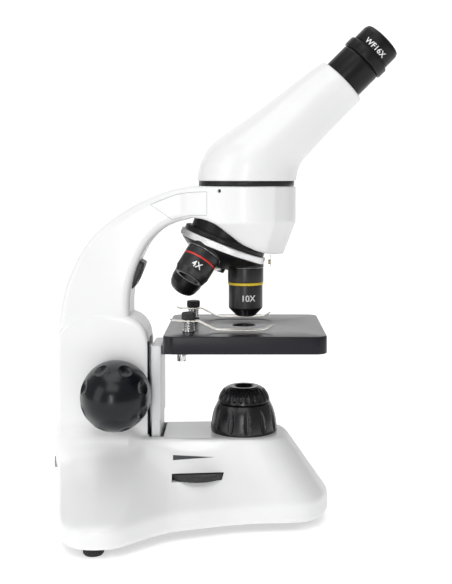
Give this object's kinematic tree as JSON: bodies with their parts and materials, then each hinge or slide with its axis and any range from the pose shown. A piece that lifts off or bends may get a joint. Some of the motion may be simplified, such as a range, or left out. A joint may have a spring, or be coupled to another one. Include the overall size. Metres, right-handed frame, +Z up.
{
  "type": "microscope",
  "caption": "Student microscope with an inclined monocular head, revolving nosepiece, focusing stage with clips, and lamps below and above the stage.",
  "frame": {"origin": "on the table, under the middle of the object's bounding box", "axes": "+Z up; +X towards the user, where the eyepiece points; the brightness wheel is on the -Y side"},
  "size_m": [0.2002, 0.1426, 0.2882],
  "materials": {
    "white_body": "white enamel on die-cast aluminium",
    "bracket_paint": "satin",
    "plate": "matt",
    "black_plastic": "moulded",
    "rubber": "matt",
    "steel": "polished",
    "circuit_board": "solder mask",
    "pot_body": "moulded",
    "socket_metal": "plated",
    "illuminator_black": "gloss",
    "knob_black": "gloss",
    "clear_glass": "polished",
    "lamp_diffuser": "frosted",
    "aluminium": "milled",
    "brass": "machined",
    "stage_paint": "gloss",
    "black_metal": "satin anodised",
    "turret_chrome": "bright and satin",
    "objective_black": "satin",
    "red_band": "gloss",
    "yellow_band": "gloss",
    "blue_band": "gloss"
  },
  "bodies": {
    "stand": {"base_casting": "white_body", "base_plate": "plate", "battery_door": "plate", "battery_holder": "black_plastic", "rubber_feet": "rubber", "plate_screws": "steel", "control_board": "circuit_board", "dimmer_pot": "pot_body", "dc_jack": "socket_metal", "led_module": "steel", "illuminator_shell": "illuminator_black", "column_casting": "white_body", "arm_casting": "white_body", "lamp_bezel": "black_plastic", "lamp_lens": "lamp_diffuser", "lamp_board": "circuit_board", "guide_rails": "steel", "shaft_bushes": "brass", "nosepiece_base": "black_metal", "nosepiece_screw": "steel", "detent_spring": "steel", "detent_ball": "brass", "head_screw": "black_metal"},
    "stage": {"stage_carriage": "aluminium", "focus_rack": "brass", "stage_bracket": "bracket_paint", "stage_plate": "stage_paint", "stage_shelf": "stage_paint", "stage_screws": "steel", "condenser_lens": "clear_glass", "diaphragm_screw": "steel", "clip_posts": "steel", "clip_caps": "black_metal", "clip_springs": "steel"},
    "focus_knobs": {"focus_shaft": "steel", "focus_pinion": "brass", "focus_knob_left": "knob_black", "focus_knob_right": "knob_black"},
    "diaphragm": {"diaphragm_disc": "black_metal"},
    "left_clip": {"clip_left": "steel"},
    "right_clip": {"clip_right": "steel"},
    "turret": {"nosepiece_turret": "turret_chrome", "objective_low": "objective_black", "objective_mid": "objective_black", "objective_high": "objective_black", "objective_lenses": "clear_glass", "ring_low": "red_band", "ring_mid": "yellow_band", "ring_high": "blue_band"},
    "head": {"head_ring": "black_metal", "head_housing": "white_body", "prism": "clear_glass", "drawtube": "black_metal"},
    "eyepiece": {"eyepiece_body": "black_metal", "eye_lens": "clear_glass", "field_lens": "clear_glass"},
    "dimmer": {"brightness_wheel": "black_plastic"},
    "light_ring": {"illuminator_ring": "illuminator_black", "collector_lens": "clear_glass"}
  },
  "joints": [
    {"name": "stage_focus", "type": "slide", "parent": "stand", "child": "stage", "axis": [0, 0, 1], "range_m": [-0.018, 0.0007]},
    {"name": "knob_turn", "type": "hinge", "parent": "stand", "child": "focus_knobs", "pos_m": [-0.06094, 0, 0.0775], "axis": [0, -1, 0], "range_deg": [-216, 9]},
    {"name": "nosepiece_turn", "type": "hinge", "parent": "stand", "child": "turret", "pos_m": [0.01206, 0, 0.195], "axis": [-0.3584, 0, -0.9336], "continuous": true},
    {"name": "head_turn", "type": "hinge", "parent": "stand", "child": "head", "pos_m": [0.01256, 0, 0.198], "axis": [0, 0, 1], "continuous": true},
    {"name": "eyepiece_pull", "type": "slide", "parent": "head", "child": "eyepiece", "axis": [0.7071, 0, 0.7071], "range_m": [0, 0.034]},
    {"name": "left_clip_swing", "type": "hinge", "parent": "stage", "child": "left_clip", "pos_m": [-0.01994, -0.027, 0.1195], "axis": [0, 0, 1], "range_deg": [-60, 25]},
    {"name": "right_clip_swing", "type": "hinge", "parent": "stage", "child": "right_clip", "pos_m": [-0.01994, 0.027, 0.1195], "axis": [0, 0, 1], "range_deg": [-25, 60]},
    {"name": "diaphragm_turn", "type": "hinge", "parent": "stage", "child": "diaphragm", "pos_m": [0.02506, 0.011, 0.1045], "axis": [0, 0, 1], "continuous": true},
    {"name": "brightness_turn", "type": "hinge", "parent": "stand", "child": "dimmer", "pos_m": [-0.01544, -0.0175, 0.0316], "axis": [0, 0, 1], "range_deg": [-135, 135]},
    {"name": "light_ring_turn", "type": "hinge", "parent": "stand", "child": "light_ring", "pos_m": [0.01106, 0, 0.077], "axis": [0, 0, 1], "continuous": true}
  ],
  "couplings": [
    {"joint": "knob_turn", "follows": "stage_focus", "rad_per_m": 208.33}
  ]
}
